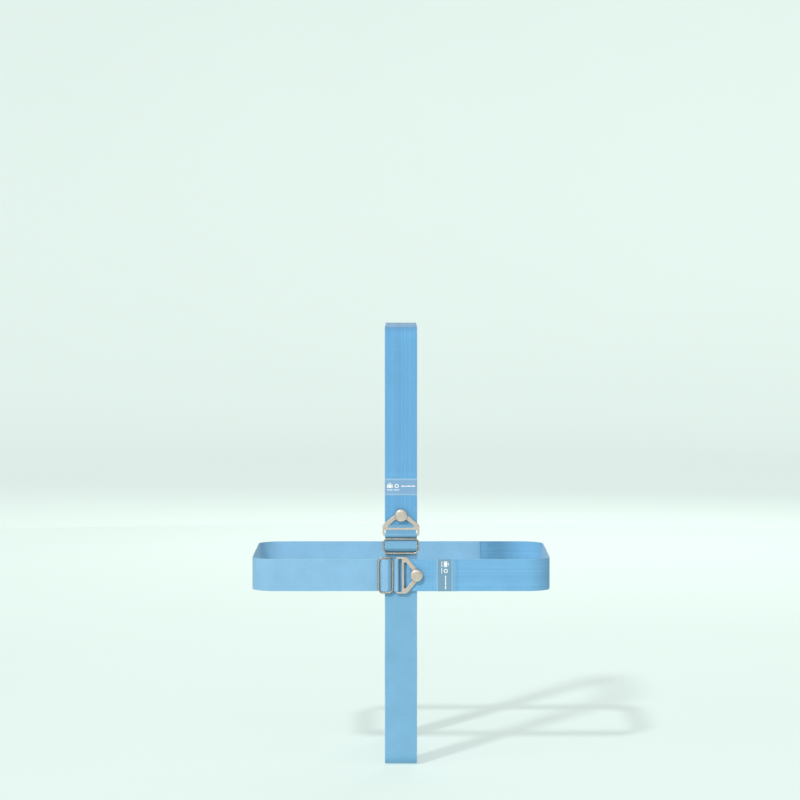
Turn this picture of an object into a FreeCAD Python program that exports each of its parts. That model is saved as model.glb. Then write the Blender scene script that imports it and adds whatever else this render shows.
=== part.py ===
"""Crossed pair of luggage straps, drawn as they sit round a hard suitcase.

Each strap is a loop of 50 mm webbing: an elastic ribbon that ends in a label and a swivelling button,
and a twill ribbon that is adjusted by a wire slider and ends in a clip, which hooks under the button.

World frame, in millimetres: X to the right, -Y towards the front, +Z up. The origin is at the middle of
the suitcase's underside. Both buckles are drawn in one local frame: x runs along the strap from the clip
to the button, with 0 at the button's axis, y runs across the strap, and z points away from the suitcase,
with 0 on the webbing's inner face.
"""

import FreeCAD, Part
import math
import os
from FreeCAD import Vector

# The suitcase that the straps go round
CASE_WIDTH = 461.0
CASE_DEPTH = 280.0
CASE_HEIGHT = 678.0
SIDE_EDGE_RADIUS = 35.0
TOP_EDGE_RADIUS = 16.0

# Where the two straps lie on it
HORIZONTAL_STRAP_HEIGHT = 295.0
SLIDER_TO_CROSSING = 4.1
HORIZONTAL_BUTTON_OFFSET = 24.0
VERTICAL_LAP_HEIGHT = 430.0
HORIZONTAL_LAP_OFFSET = 90.0
LAP_LENGTH = 40.0

# Webbing
STRAP_WIDTH = 50.0
ELASTIC_THICKNESS = 1.5
TWILL_THICKNESS = 1.3
BODY_GAP = 0.3
LAYER_GAP = 0.1
SLOPE_LENGTH = 5.0

# Elastic end with its hem, label and button
HEM_NOSE = 15.0
HEM_LENGTH = 75.0
END_LENGTH = 68.0
FOLD_GAP = 0.2
LABEL_START = 30.5
LABEL_LENGTH = 26.5
LABEL_THICKNESS = 0.7
POST_RADIUS = 3.0
POST_HEAD_LIP = 1.2
POST_HEAD_THICKNESS = 1.4
NECK_PLAY = 1.6
CAP_RADIUS = 9.75
CAP_RIM_HEIGHT = 1.4
CAP_THICKNESS = 3.7
CAP_FLOOR = 0.8
TURNING_FIT = 0.1
TACK_RADIUS = 5.0
TACK_THICKNESS = 1.0
TACK_PIN_RADIUS = 1.25
PRESS_CLEARANCE = 0.05

# Clip
CLIP_SIDE_PLAY = 0.5
CLIP_THICKNESS = 2.5
CLIP_NOSE_RADIUS = 6.7
CLIP_SHOULDER = 14.6
CLIP_SHOULDER_RADIUS = 9.0
CLIP_FOOT_RADIUS = 3.6
CLIP_RAIL = 3.0
CLIP_BAR_RADIUS = 1.6
CLIP_BAR_DISTANCE = 30.5
BAR_ROOT = 0.6
CROSSBAR_DISTANCE = 21.0
CROSSBAR_WIDTH = 3.4
SEAT_CLEARANCE = 0.45
OPENING_TO_SIDE = 8.5
OPENING_CORNER_RADIUS = 1.5
CLIP_EDGE_FILLET = 0.7
LOOP_LEG = 0.6

# Slider
SLIDER_SIDE_PLAY = 0.3
SLIDER_LENGTH = 25.2
SLIDER_WIRE_RADIUS = 1.6
SLIDER_BAR_RADIUS = 1.5
SLIDER_CORNER_CUT = 4.6
SLIDER_CORNER_RADIUS = 2.4
SLIDER_DISTANCE = 47.8
TAIL_TO_RAIL = 1.7

# Thread
STITCH_LENGTH = 3.0
STITCH_PITCH = 4.0
STITCH_WIDTH = 0.6
STITCH_HEIGHT = 0.35
STITCH_EDGE = 2.5

# Widths of the hardware, round the webbing
CLIP_WIDTH = STRAP_WIDTH + 2 * (CLIP_SIDE_PLAY + CLIP_RAIL)
SLIDER_WIDTH = STRAP_WIDTH + 2 * (SLIDER_SIDE_PLAY + 2 * SLIDER_WIRE_RADIUS)
POST_HEAD_RADIUS = POST_RADIUS + POST_HEAD_LIP

# Levels above the suitcase
HEM_HEIGHT = 2 * ELASTIC_THICKNESS + FOLD_GAP
CLIP_LEVEL = HEM_HEIGHT + BODY_GAP + CLIP_THICKNESS / 2
CAP_LEVEL = CLIP_LEVEL + CLIP_THICKNESS / 2 + NECK_PLAY
RAIL_LEVEL = 2 * TWILL_THICKNESS + 2 * LAYER_GAP + SLIDER_WIRE_RADIUS
BAR_LOOP_RADIUS = SLIDER_BAR_RADIUS + LAYER_GAP
CROSSING_STEP = TWILL_THICKNESS + BODY_GAP
SEAT_RADIUS = POST_RADIUS + SEAT_CLEARANCE

# Stations along a strap
CLIP_LEG_END = -(CLIP_BAR_DISTANCE + LOOP_LEG)
SLIDER_NEAR = -(SLIDER_DISTANCE - SLIDER_LENGTH / 2)
SLIDER_FAR = -(SLIDER_DISTANCE + SLIDER_LENGTH / 2)
SEWN_TAIL = SLIDER_LENGTH / 2 - 2 * SLIDER_WIRE_RADIUS - TAIL_TO_RAIL - TWILL_THICKNESS
HARDWARE_TOP = HORIZONTAL_STRAP_HEIGHT + max(CLIP_WIDTH, SLIDER_WIDTH) / 2
VERTICAL_BUTTON_HEIGHT = HARDWARE_TOP + SLIDER_TO_CROSSING - SLIDER_FAR


# --- Shapes shared by several pieces ---


def left_of(direction):
    return Vector(-direction.z, 0, direction.x)


def offset_points(points, distance):
    """The same polyline moved sideways: to its left for a positive distance."""
    steps = [(b - a).normalize() for a, b in zip(points, points[1:])]
    moved = [points[0] + left_of(steps[0]) * distance]
    for point, before, after in zip(points[1:-1], steps, steps[1:]):
        mitre = left_of(before) + left_of(after)
        moved.append(point + mitre * (distance / (1 + left_of(before).dot(left_of(after)))))
    return moved + [points[-1] + left_of(steps[-1]) * distance]


def rounded_edges(points, radii):
    """Edges of an open polyline whose inner corners are rounded with tangent arcs."""
    edges = []
    start = points[0]
    for before, corner, after, radius in zip(points, points[1:-1], points[2:], radii):
        back = (before - corner).normalize()
        ahead = (after - corner).normalize()
        half = back.getAngle(ahead) / 2
        reach = radius / math.tan(half)
        middle = (back + ahead).normalize() * (radius / math.sin(half) - radius)
        arc_start = corner + back * reach
        arc_end = corner + ahead * reach
        if (arc_start - start).Length > 1e-6:
            edges.append(Part.LineSegment(start, arc_start).toShape())
        edges.append(Part.Arc(arc_start, corner + middle, arc_end).toShape())
        start = arc_end
    if (points[-1] - start).Length > 1e-6:
        edges.append(Part.LineSegment(start, points[-1]).toShape())
    return edges


def ribbon(stations, thickness, side=1):
    """A strip of webbing. Stations are (x, z, inner bend radius) along one face, and the other face
    lies to the left (side 1) or to the right (side -1) of that line."""
    near = [Vector(x, 0, z) for x, z, _ in stations]
    far = offset_points(near, side * thickness)
    near_radii, far_radii = [], []
    for a, b, c, station in zip(near, near[1:], near[2:], stations[1:]):
        turns_left = left_of(b - a).dot(c - b) > 0
        outside = turns_left != (side > 0)
        near_radii.append(station[2] + (0 if outside else thickness))
        far_radii.append(station[2] + (thickness if outside else 0))
    edges = rounded_edges(near, near_radii)
    edges.append(Part.LineSegment(near[-1], far[-1]).toShape())
    edges += rounded_edges(far[::-1], far_radii[::-1])
    edges.append(Part.LineSegment(far[0], near[0]).toShape())
    face = Part.Face(Part.Wire(Part.__sortEdges__(edges)))
    face.translate(Vector(0, -STRAP_WIDTH / 2, 0))
    return face.extrude(Vector(0, STRAP_WIDTH, 0))


def cross_rod(x, z, radius, length):
    return Part.makeCylinder(radius, length, Vector(x, -length / 2, z), Vector(0, 1, 0))


def post_cylinder(radius, low, high):
    return Part.makeCylinder(radius, high - low, Vector(0, 0, low))


def stitch_row(x, level, outward=1):
    """A row of stitches across the strap, lying on a face of the webbing."""
    count = int((STRAP_WIDTH - 2 * STITCH_EDGE - STITCH_LENGTH) // STITCH_PITCH) + 1
    first = -(count - 1) * STITCH_PITCH / 2 - STITCH_LENGTH / 2
    low = level if outward > 0 else level - STITCH_HEIGHT
    row = []
    for number in range(count):
        corner = Vector(x - STITCH_WIDTH / 2, first + number * STITCH_PITCH, low)
        row.append(Part.makeBox(STITCH_WIDTH, STITCH_LENGTH, STITCH_HEIGHT, corner))
    return row


# --- Elastic end: hem, label, button ---


def button_end_webbing():
    """The elastic's end, folded under itself as a hem, with a hole for the tack."""
    upper = ELASTIC_THICKNESS + FOLD_GAP
    inside = -HEM_NOSE + ELASTIC_THICKNESS
    hem_end = HEM_LENGTH - HEM_NOSE
    bend = ELASTIC_THICKNESS / 2
    webbing = ribbon(
        [
            (END_LENGTH, 0, 0),
            (hem_end + SLOPE_LENGTH, 0, bend),
            (hem_end + FOLD_GAP, upper, bend),
            (inside, upper, FOLD_GAP / 2),
            (inside, ELASTIC_THICKNESS, FOLD_GAP / 2),
            (hem_end - ELASTIC_THICKNESS, ELASTIC_THICKNESS, 0),
        ],
        ELASTIC_THICKNESS,
        -1,
    )
    pin_hole = post_cylinder(TACK_PIN_RADIUS + PRESS_CLEARANCE, 0, HEM_HEIGHT)
    dent = post_cylinder(TACK_RADIUS + LAYER_GAP, 0, TACK_THICKNESS + LAYER_GAP)
    return webbing.cut(pin_hole).cut(dent)


def label():
    corner = Vector(LABEL_START, -STRAP_WIDTH / 2, HEM_HEIGHT)
    return Part.makeBox(LABEL_LENGTH, STRAP_WIDTH, LABEL_THICKNESS, corner)


def label_stitching():
    level = HEM_HEIGHT + LABEL_THICKNESS
    near = stitch_row(LABEL_START + STITCH_EDGE, level)
    far = stitch_row(LABEL_START + LABEL_LENGTH - STITCH_EDGE, level)
    return Part.makeCompound(near + far)


def hem_stitching():
    """Two rows across the hem between the button and the label."""
    first = (CAP_RADIUS + LABEL_START) / 2
    return Part.makeCompound(
        stitch_row(first, HEM_HEIGHT) + stitch_row(first + 2 * STITCH_EDGE, HEM_HEIGHT)
    )


def button_tack():
    """The rivet behind the webbing: a flat head and a pin that is driven up into the post."""
    head = post_cylinder(TACK_RADIUS, LAYER_GAP, TACK_THICKNESS)
    pin = post_cylinder(TACK_PIN_RADIUS, LAYER_GAP, CAP_LEVEL)
    return head.fuse(pin).removeSplitter()


def post_head_level():
    return CAP_LEVEL + CAP_FLOOR + TURNING_FIT


def button_post():
    """The fixed neck that the clip hooks round, with a head that the cap turns on."""
    head_low = post_head_level()
    head_high = head_low + POST_HEAD_THICKNESS
    post = post_cylinder(POST_RADIUS, HEM_HEIGHT, head_high)
    head = post_cylinder(POST_HEAD_RADIUS, head_low, head_high)
    bore = post_cylinder(TACK_PIN_RADIUS + PRESS_CLEARANCE, HEM_HEIGHT, CAP_LEVEL + PRESS_CLEARANCE)
    return post.fuse(head).removeSplitter().cut(bore)


def button_cap():
    """The domed cap, hollow round the post's head."""
    top = CAP_LEVEL + CAP_THICKNESS
    rim = CAP_LEVEL + CAP_RIM_HEIGHT
    edge = CAP_RIM_HEIGHT / 2
    span = CAP_RADIUS - edge
    rise = top - rim
    dome_radius = (span**2 + rise**2) / (2 * rise)
    lean = math.asin(span / dome_radius) / 2
    low_end = Vector(span, 0, CAP_LEVEL)
    rim_middle = Vector(CAP_RADIUS, 0, CAP_LEVEL + edge)
    rim_end = Vector(span, 0, rim)
    shoulder = Vector(math.sin(lean), 0, math.cos(lean)) * dome_radius + Vector(0, 0, top - dome_radius)
    edges = [
        Part.LineSegment(Vector(0, 0, CAP_LEVEL), low_end).toShape(),
        Part.Arc(low_end, rim_middle, rim_end).toShape(),
        Part.Arc(rim_end, shoulder, Vector(0, 0, top)).toShape(),
        Part.LineSegment(Vector(0, 0, top), Vector(0, 0, CAP_LEVEL)).toShape(),
    ]
    dome = Part.Face(Part.Wire(edges)).revolve(Vector(0, 0, 0), Vector(0, 0, 1), 360)
    cavity_low = CAP_LEVEL + CAP_FLOOR
    cavity_high = post_head_level() + POST_HEAD_THICKNESS + TURNING_FIT
    bore = post_cylinder(POST_RADIUS + TURNING_FIT, CAP_LEVEL, cavity_low)
    cavity = post_cylinder(POST_HEAD_RADIUS + TURNING_FIT, cavity_low, cavity_high)
    return dome.cut(bore).cut(cavity)


# --- Clip and the webbing looped round its bar ---


def arm_edge():
    """Straight outer edge of one arm: the point where it leaves the round nose, and the shoulder."""
    shoulder = Vector(-CLIP_SHOULDER, CLIP_WIDTH / 2, 0)
    lean = math.atan2(shoulder.y, shoulder.x) - math.acos(CLIP_NOSE_RADIUS / shoulder.Length)
    touch = Vector(math.cos(lean), math.sin(lean), 0) * CLIP_NOSE_RADIUS
    return touch, shoulder


def clip_outline():
    """Outer edge of the clip: a round nose, two straight arms, round shoulders and a square foot."""
    touch, shoulder = arm_edge()
    half = shoulder.y
    foot = -(CLIP_BAR_DISTANCE + CLIP_BAR_RADIUS)
    mirror = [Vector(p.x, -p.y, 0) for p in (touch, shoulder)]
    corners = [touch, shoulder, Vector(foot, half, 0), Vector(foot, -half, 0), mirror[1], mirror[0]]
    radii = [CLIP_SHOULDER_RADIUS, CLIP_FOOT_RADIUS, CLIP_FOOT_RADIUS, CLIP_SHOULDER_RADIUS]
    edges = rounded_edges(corners, radii)
    edges.append(Part.Arc(mirror[0], Vector(CLIP_NOSE_RADIUS, 0, 0), touch).toShape())
    return Part.Face(Part.Wire(edges))


def clip_opening():
    """The opening: a round seat for the button's neck, a throat that the neck slides through, and a
    wide mouth whose sloping sides run parallel to the arms' outer edges."""
    touch, shoulder = arm_edge()
    spread = (shoulder.y - touch.y) / (touch.x - shoulder.x)
    half = shoulder.y - OPENING_TO_SIDE
    base = -(CROSSBAR_DISTANCE - CROSSBAR_WIDTH / 2)
    one_side = [Vector(-half / spread, half, 0), Vector(base, half, 0)]
    other_side = [Vector(p.x, -p.y, 0) for p in reversed(one_side)]
    tip = Vector(0, 0, 0)
    corners = [tip, *one_side, *other_side, tip]
    mouth = Part.Face(Part.Wire(rounded_edges(corners, [OPENING_CORNER_RADIUS] * 4)))
    seat = Part.Face(Part.Wire(Part.makeCircle(SEAT_RADIUS)))
    reach = SEAT_RADIUS / spread
    throat = Part.makePlane(reach, 2 * SEAT_RADIUS, Vector(-reach, -SEAT_RADIUS, 0))
    return mouth, seat, throat


def clip():
    plate = clip_outline()
    for opening in clip_opening():
        plate = plate.cut(opening)
    inside = CLIP_WIDTH - 2 * CLIP_RAIL
    slot_near = -(CROSSBAR_DISTANCE + CROSSBAR_WIDTH / 2)
    slot_far = -(CLIP_BAR_DISTANCE - CLIP_BAR_RADIUS)
    slot = Part.makePlane(slot_near - slot_far, inside, Vector(slot_far, -inside / 2, 0))
    plate = plate.cut(slot)
    plate.translate(Vector(0, 0, CLIP_LEVEL - CLIP_THICKNESS / 2))
    body = plate.extrude(Vector(0, 0, CLIP_THICKNESS))
    body = body.Solids[0]
    flat = [
        edge
        for edge in body.Edges
        if abs(edge.BoundBox.ZMax - edge.BoundBox.ZMin) < 1e-6
    ]
    body = body.makeFillet(CLIP_EDGE_FILLET, flat)
    foot = 2 * CLIP_BAR_RADIUS
    notch_corner = Vector(slot_far - foot - 1, -inside / 2, CLIP_LEVEL - CLIP_THICKNESS)
    notch = Part.makeBox(foot + 1, inside, 2 * CLIP_THICKNESS, notch_corner)
    bar = cross_rod(-CLIP_BAR_DISTANCE, CLIP_LEVEL, CLIP_BAR_RADIUS, inside + 2 * BAR_ROOT)
    return body.cut(notch).fuse(bar).removeSplitter()


def clip_loop_webbing():
    """The twill's fold round the clip's bar."""
    bend = CLIP_BAR_RADIUS + LAYER_GAP
    nose = -CLIP_BAR_DISTANCE + bend
    return ribbon(
        [
            (CLIP_LEG_END, CLIP_LEVEL - bend, 0),
            (nose, CLIP_LEVEL - bend, bend),
            (nose, CLIP_LEVEL + bend, bend),
            (CLIP_LEG_END, CLIP_LEVEL + bend, 0),
        ],
        TWILL_THICKNESS,
        -1,
    )


def sloping_webbing(start_level, end_level):
    """A short layer between the fold and the slider, coming down from one level to another."""
    start = CLIP_LEG_END - BODY_GAP
    end = SLIDER_NEAR + BODY_GAP
    outline = [
        (start, start_level),
        (end, end_level),
        (end, end_level + TWILL_THICKNESS),
        (start, start_level + TWILL_THICKNESS),
        (start, start_level),
    ]
    face = Part.Face(Part.makePolygon([Vector(x, -STRAP_WIDTH / 2, z) for x, z in outline]))
    return face.extrude(Vector(0, STRAP_WIDTH, 0))


def return_webbing():
    """The under layer between the fold and the slider."""
    return sloping_webbing(CLIP_LEVEL - CLIP_BAR_RADIUS - LAYER_GAP - TWILL_THICKNESS, 0)


def running_webbing():
    """The outer layer between the fold and the slider."""
    return sloping_webbing(CLIP_LEVEL + CLIP_BAR_RADIUS + LAYER_GAP, TWILL_THICKNESS + LAYER_GAP)


# --- Slider and the webbing that it holds ---


def slider_ring(wire_radius=SLIDER_WIRE_RADIUS):
    """A closed wire ring with cut corners, each rounded at both of its ends."""
    half_x = SLIDER_LENGTH / 2 - SLIDER_WIRE_RADIUS
    half_y = SLIDER_WIDTH / 2 - SLIDER_WIRE_RADIUS
    cut = SLIDER_CORNER_CUT
    quarter = [(half_x, half_y - cut), (half_x - cut, half_y)]
    signs = [(1, 1), (-1, 1), (-1, -1), (1, -1)]
    corners = []
    for turn, (sx, sy) in enumerate(signs):
        pair = quarter if turn % 2 == 0 else quarter[::-1]
        corners += [Vector(sx * x, sy * y, 0) for x, y in pair]
    start = Vector(half_x, 0, 0)
    path = [start] + corners + [start]
    spine = Part.Wire(rounded_edges(path, [SLIDER_CORNER_RADIUS] * len(corners)))
    section = Part.Wire(Part.makeCircle(wire_radius, start, Vector(0, 1, 0)))
    ring = Part.makeSolid(spine.makePipeShell([section], True, False))
    ring.translate(Vector(-SLIDER_DISTANCE, 0, RAIL_LEVEL))
    return ring


def slider_bar():
    length = SLIDER_WIDTH - 3 * SLIDER_WIRE_RADIUS
    bar = cross_rod(-SLIDER_DISTANCE, RAIL_LEVEL, SLIDER_BAR_RADIUS, length)
    return bar.cut(slider_ring())


def under_layer_slope():
    """Rise over run of the layer that climbs from the near rail to the underside of the bar."""
    run = SLIDER_LENGTH / 2 - 2 * SLIDER_WIRE_RADIUS - BAR_LOOP_RADIUS
    return (RAIL_LEVEL - BAR_LOOP_RADIUS - TWILL_THICKNESS) / run


def under_layer_top(x):
    return TWILL_THICKNESS + (SLIDER_NEAR - 2 * SLIDER_WIRE_RADIUS - x) * under_layer_slope()


def clear_of_ring(webbing):
    """The webbing with room for the ring's corners, where its edges bunch up."""
    return webbing.cut(slider_ring(SLIDER_WIRE_RADIUS + LAYER_GAP))


def sewn_end():
    """The twill's end: in under the slider's near rail, round its bar, and back down on itself."""
    bar = -SLIDER_DISTANCE
    turn = bar - BAR_LOOP_RADIUS
    under = RAIL_LEVEL - BAR_LOOP_RADIUS
    over = RAIL_LEVEL + BAR_LOOP_RADIUS
    tail_start = bar + TWILL_THICKNESS
    bend = BAR_LOOP_RADIUS / 2
    tail_end = bar + SEWN_TAIL
    loop = ribbon(
        [
            (SLIDER_NEAR, TWILL_THICKNESS, 0),
            (SLIDER_NEAR - 2 * SLIDER_WIRE_RADIUS, TWILL_THICKNESS, bend),
            (bar + BAR_LOOP_RADIUS, under, bend),
            (turn, under, BAR_LOOP_RADIUS),
            (turn, over, BAR_LOOP_RADIUS),
            (tail_start, over, bend),
            (tail_end, under_layer_top(tail_end) + LAYER_GAP, 0),
        ],
        TWILL_THICKNESS,
        1,
    )
    return clear_of_ring(loop)


def slider_webbing():
    """The twill that runs through the slider: under both rails and over the sewn end."""
    near = SLIDER_NEAR - 2 * SLIDER_WIRE_RADIUS
    far = SLIDER_FAR + 2 * SLIDER_WIRE_RADIUS
    reach = BAR_LOOP_RADIUS + TWILL_THICKNESS + LAYER_GAP
    bend = TWILL_THICKNESS / 4
    crown = RAIL_LEVEL + reach
    hump = ribbon(
        [
            (SLIDER_NEAR, TWILL_THICKNESS + LAYER_GAP, 0),
            (near, TWILL_THICKNESS + LAYER_GAP, bend),
            (-SLIDER_DISTANCE + reach, crown, reach / 2),
            (-SLIDER_DISTANCE - reach, crown, reach / 2),
            (far, 0, bend),
            (SLIDER_FAR, 0, 0),
        ],
        TWILL_THICKNESS,
        -1,
    )
    return clear_of_ring(hump)


def sewn_end_stitching():
    """One row through the tail, showing on the underside of the layer that it is sewn to."""
    x = SEWN_TAIL - SLIDER_DISTANCE - STITCH_WIDTH
    row = Part.makeCompound(stitch_row(0, -TWILL_THICKNESS, -1))
    row.rotate(Vector(0, 0, 0), Vector(0, 1, 0), math.degrees(math.atan(under_layer_slope())))
    row.translate(Vector(x, 0, under_layer_top(x)))
    return row


# --- The long runs round the suitcase ---


def front_webbing(low):
    """The straight twill run from the slider to the suitcase's edge."""
    return ribbon([(SLIDER_FAR - BODY_GAP, 0, 0), (low, 0, 0)], TWILL_THICKNESS, -1)


def twill_webbing(low, radius, depth, lap):
    """Round two edges of the suitcase and along its back, to the lap."""
    return ribbon(
        [(low + radius, 0, 0), (low, 0, radius), (low, -depth, radius), (lap + LAP_LENGTH, -depth, 0)],
        TWILL_THICKNESS,
        -1,
    )


def elastic_webbing(high, radius, depth, lap):
    """From behind the label round two edges of the suitcase, stepping out over the twill at the lap."""
    bend = ELASTIC_THICKNESS / 2
    return ribbon(
        [
            (END_LENGTH + BODY_GAP, 0, 0),
            (high, 0, radius),
            (high, -depth, radius),
            (lap + LAP_LENGTH + 2 * SLOPE_LENGTH, -depth, bend),
            (lap + LAP_LENGTH + SLOPE_LENGTH, -depth - TWILL_THICKNESS, bend),
            (lap, -depth - TWILL_THICKNESS, 0),
        ],
        ELASTIC_THICKNESS,
        1,
    )


def lap_stitching(depth, lap):
    """Two pairs of rows on the lap's outer face."""
    face = -depth - TWILL_THICKNESS - ELASTIC_THICKNESS
    rows = []
    for x in (STITCH_EDGE, 2.5 * STITCH_EDGE, LAP_LENGTH - 2.5 * STITCH_EDGE, LAP_LENGTH - STITCH_EDGE):
        rows += stitch_row(lap + x, face, -1)
    return Part.makeCompound(rows)


# --- The two straps ---


def strap_pieces(low, high, radius, depth, lap):
    """Every piece of one strap in its local frame. Low and high are where its loop ends along x."""
    return {
        "elastic_webbing": elastic_webbing(high, radius, depth, lap),
        "button_end_webbing": button_end_webbing(),
        "label": label(),
        "label_stitching": label_stitching(),
        "hem_stitching": hem_stitching(),
        "button_tack": button_tack(),
        "button_post": button_post(),
        "button_cap": button_cap(),
        "clip": clip(),
        "clip_loop_webbing": clip_loop_webbing(),
        "return_webbing": return_webbing(),
        "running_webbing": running_webbing(),
        "slider_ring": slider_ring(),
        "slider_bar": slider_bar(),
        "slider_webbing": slider_webbing(),
        "sewn_end": sewn_end(),
        "sewn_end_stitching": sewn_end_stitching(),
        "front_webbing": front_webbing(low + radius),
        "twill_webbing": twill_webbing(low, radius, depth, lap),
        "lap_stitching": lap_stitching(depth, lap),
    }


def placement(origin, along, across, outward):
    matrix = FreeCAD.Matrix(
        along.x, across.x, outward.x, origin.x,
        along.y, across.y, outward.y, origin.y,
        along.z, across.z, outward.z, origin.z,
        0, 0, 0, 1,
    )
    return FreeCAD.Placement(matrix)


def export(prefix, pieces, place):
    for name, shape in pieces.items():
        shape.Placement = place.multiply(shape.Placement)
        shape.exportStep(f"parts/{prefix}_{name}.step")
        solids = shape.Solids
        sound = all(solid.isValid() and solid.Volume > 0 for solid in solids)
        print(f"{prefix}_{name}: {len(solids)} solids, {shape.Volume:.1f} mm3, sound {sound}")


def main():
    os.makedirs("parts", exist_ok=True)
    front = -CASE_DEPTH / 2
    right, up, forward = Vector(1, 0, 0), Vector(0, 0, 1), Vector(0, -1, 0)
    vertical = strap_pieces(
        -VERTICAL_BUTTON_HEIGHT,
        CASE_HEIGHT - VERTICAL_BUTTON_HEIGHT,
        TOP_EDGE_RADIUS,
        CASE_DEPTH,
        VERTICAL_LAP_HEIGHT - VERTICAL_BUTTON_HEIGHT,
    )
    export(
        "vertical",
        vertical,
        placement(Vector(0, front, VERTICAL_BUTTON_HEIGHT), up, -right, forward),
    )
    horizontal = strap_pieces(
        -CASE_WIDTH / 2 - HORIZONTAL_BUTTON_OFFSET,
        CASE_WIDTH / 2 - HORIZONTAL_BUTTON_OFFSET,
        SIDE_EDGE_RADIUS,
        CASE_DEPTH + 2 * CROSSING_STEP,
        HORIZONTAL_LAP_OFFSET - HORIZONTAL_BUTTON_OFFSET,
    )
    origin = Vector(HORIZONTAL_BUTTON_OFFSET, front - CROSSING_STEP, HORIZONTAL_STRAP_HEIGHT)
    export("horizontal", horizontal, placement(origin, right, up, forward))


main()
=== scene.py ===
"""Looks of the crossed luggage straps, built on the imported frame: webbing, labels, buttons, clips
and sliders."""

import math

import bmesh
import bpy
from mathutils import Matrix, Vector, noise


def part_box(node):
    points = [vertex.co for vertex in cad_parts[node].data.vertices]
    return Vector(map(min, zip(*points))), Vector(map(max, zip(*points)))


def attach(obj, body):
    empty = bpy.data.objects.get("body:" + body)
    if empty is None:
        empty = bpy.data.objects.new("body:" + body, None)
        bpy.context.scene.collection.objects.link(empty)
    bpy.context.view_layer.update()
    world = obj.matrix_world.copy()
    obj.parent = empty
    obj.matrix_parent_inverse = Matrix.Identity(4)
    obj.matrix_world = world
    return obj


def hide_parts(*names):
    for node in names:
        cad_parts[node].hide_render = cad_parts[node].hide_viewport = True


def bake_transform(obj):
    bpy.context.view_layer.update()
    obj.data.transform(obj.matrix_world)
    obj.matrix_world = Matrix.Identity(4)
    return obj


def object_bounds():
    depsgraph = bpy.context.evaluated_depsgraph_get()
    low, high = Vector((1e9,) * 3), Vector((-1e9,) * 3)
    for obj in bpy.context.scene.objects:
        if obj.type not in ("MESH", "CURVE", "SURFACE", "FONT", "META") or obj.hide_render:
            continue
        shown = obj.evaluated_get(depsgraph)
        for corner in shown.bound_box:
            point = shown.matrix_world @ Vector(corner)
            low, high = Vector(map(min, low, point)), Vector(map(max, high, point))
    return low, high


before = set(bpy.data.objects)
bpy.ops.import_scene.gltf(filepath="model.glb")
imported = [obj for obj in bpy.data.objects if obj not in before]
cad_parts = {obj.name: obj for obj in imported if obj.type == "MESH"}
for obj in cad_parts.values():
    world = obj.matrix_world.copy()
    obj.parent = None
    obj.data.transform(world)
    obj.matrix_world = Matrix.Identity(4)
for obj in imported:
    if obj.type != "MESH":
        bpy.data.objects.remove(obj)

CAD_LOW, CAD_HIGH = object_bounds()
MM = 0.001

# Webbing
RIB_PITCH = 2.0 * MM
RIB_DEPTH = 0.16 * MM
ROW_STEP = 4.0 * MM
FINE_STEP = 0.6 * MM
TWILL_COLUMNS = 49
ELASTIC_COLUMNS = 97
BEND_STEP = math.radians(9)
FRONT_STEP = 3.0 * MM
WANDER = 0.25 * MM
WANDER_SCALE = 14.0
SWELL = 0.5 * MM
SWELL_SCALE = 15.0
CALM_FADE = 35 * MM
FIT_GAP = 0.1 * MM
DENT_FADE = 1.6 * MM
LAP_MARGIN = 2.2 * MM
SEWN_DEPTH = 0.05 * MM

# Round pieces, and the angle from which an edge shows as sharp
TURNS = 96
SHARP_EDGE = math.radians(38)

# Colours, linear
ELASTIC_BLUE = {"vertical": (0.147, 0.402, 0.680), "horizontal": (0.180, 0.447, 0.715)}
TWILL_BLUE = {"vertical": (0.200, 0.438, 0.650), "horizontal": (0.258, 0.503, 0.730)}
LABEL_BLUE = {"vertical": (0.225, 0.405, 0.615), "horizontal": (0.180, 0.345, 0.480)}
LIGHT_BLUE = (0.390, 0.640, 0.840)
PRINT_WHITE = (0.96, 0.94, 0.92)
NICKEL = (0.76, 0.665, 0.585)
# Painted shade: the dark tone on the metal's edge-on sides, standing in for dark reflections and shadow
NICKEL_PAINTED_SHADE = (0.14, 0.11, 0.09)
FLOOR_MINT = (0.800, 0.935, 0.880)


# --- Rings ---


def circle(radius):
    angles = [2 * math.pi * turn / TURNS for turn in range(TURNS)]
    return [(radius * math.cos(angle), radius * math.sin(angle)) for angle in angles]


def join_rings(shape, rings):
    """Quads between each ring of points and the next."""
    for low, high in zip(rings, rings[1:]):
        for turn in range(TURNS):
            after = (turn + 1) % TURNS
            shape.faces.new((low[turn], low[after], high[after], high[turn]))


# --- Camera, floor and lights ---


def make_camera():
    """A long lens, a little higher than the straps' top, that looks slightly down at them."""
    distance, height, aim_height, sideways = 4.6, 0.794, 0.5668, -0.0015
    front = CAD_LOW.y
    data = bpy.data.cameras.new("camera")
    data.sensor_width = 36.0
    data.lens = 134.6
    camera = bpy.data.objects.new("camera", data)
    bpy.context.scene.collection.objects.link(camera)
    camera.location = Vector((sideways, front - distance, height))
    aim = Vector((sideways, front, aim_height)) - camera.location
    camera.rotation_euler = aim.to_track_quat("-Z", "Y").to_euler()
    bpy.context.scene.camera = camera


def make_stage(name, profile, glow):
    """A turned surface with the given (radius, height) profile, in the studio's pale mint. A little glow
    evens out the light on it."""
    shape = bmesh.new()
    rings = []
    for radius, height in profile:
        rings.append([shape.verts.new((x, y, height)) for x, y in circle(radius)])
    if name == "studio_floor":
        shape.faces.new(rings[0])
    join_rings(shape, rings)
    stage = add_mesh(name, shape)
    stage.location.z = CAD_LOW.z - SWELL
    stage.data.materials.append(stage_material(name, glow))
    return stage


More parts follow.
